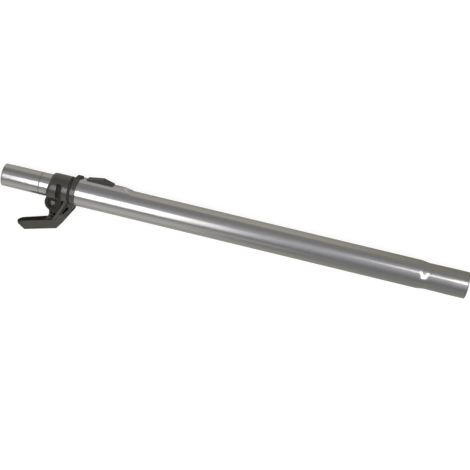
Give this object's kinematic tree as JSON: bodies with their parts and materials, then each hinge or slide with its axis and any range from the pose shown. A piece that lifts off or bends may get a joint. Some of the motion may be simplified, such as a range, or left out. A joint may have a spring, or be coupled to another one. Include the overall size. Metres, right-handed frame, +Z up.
{
  "type": "vacuum extension wand",
  "caption": "Chromed telescopic vacuum wand with a thumb button in a pressed tunnel, a clamped plastic collar with a parking hook, and a necked handle socket.",
  "frame": {"origin": "centre of the handle socket's mouth, on the tube axis", "axes": "+X along the tube axis out of the handle socket, the nozzle end points to -X; +Z up as the wand lies on a floor; the thumb button is on the +Y side and the parking hook on the -Y side"},
  "size_m": [0.657, 0.0981, 0.0404],
  "materials": {
    "chromed_tube": "polished chromed steel tube, 0.8 mm wall",
    "dark_plastic": "warm black semi-gloss moulded plastic",
    "inner_plastic": "dark moulded acetal",
    "seal_rubber": "soft seal rubber",
    "screw_steel": "plated steel"
  },
  "bodies": {
    "outer_stage": {"outer_tube": "chromed_tube", "guide_sleeve": "inner_plastic", "wiper_ring": "seal_rubber", "parking_collar": "dark_plastic", "clamp_screw": "screw_steel", "clamp_nut": "screw_steel", "return_spring": "screw_steel"},
    "inner_stage": {"inner_tube": "chromed_tube", "rear_bush_left": "inner_plastic", "rear_bush_right": "inner_plastic", "rear_seal": "seal_rubber"},
    "lock_slide": {"slide_carrier": "inner_plastic", "thumb_button": "dark_plastic"},
    "lock_roller": {"locking_roller": "screw_steel"}
  },
  "joints": [
    {"name": "telescope", "type": "slide", "parent": "outer_stage", "child": "inner_stage", "axis": [-1, 0, 0], "range_m": [0, 0.36]},
    {"name": "button_slide", "type": "slide", "parent": "outer_stage", "child": "lock_slide", "axis": [-1, 0, 0], "range_m": [0, 0.004], "stiffness_N_per_m": 800, "springref_m": -0.002, "deforming": ["return_spring"]},
    {"name": "roller_lift", "type": "slide", "parent": "outer_stage", "child": "lock_roller", "axis": [0, 0.989, 0.1482], "range_m": [0, 0.0015]}
  ],
  "couplings": [
    {"joint": "roller_lift", "follows": "button_slide", "ratio": 0.375}
  ]
}
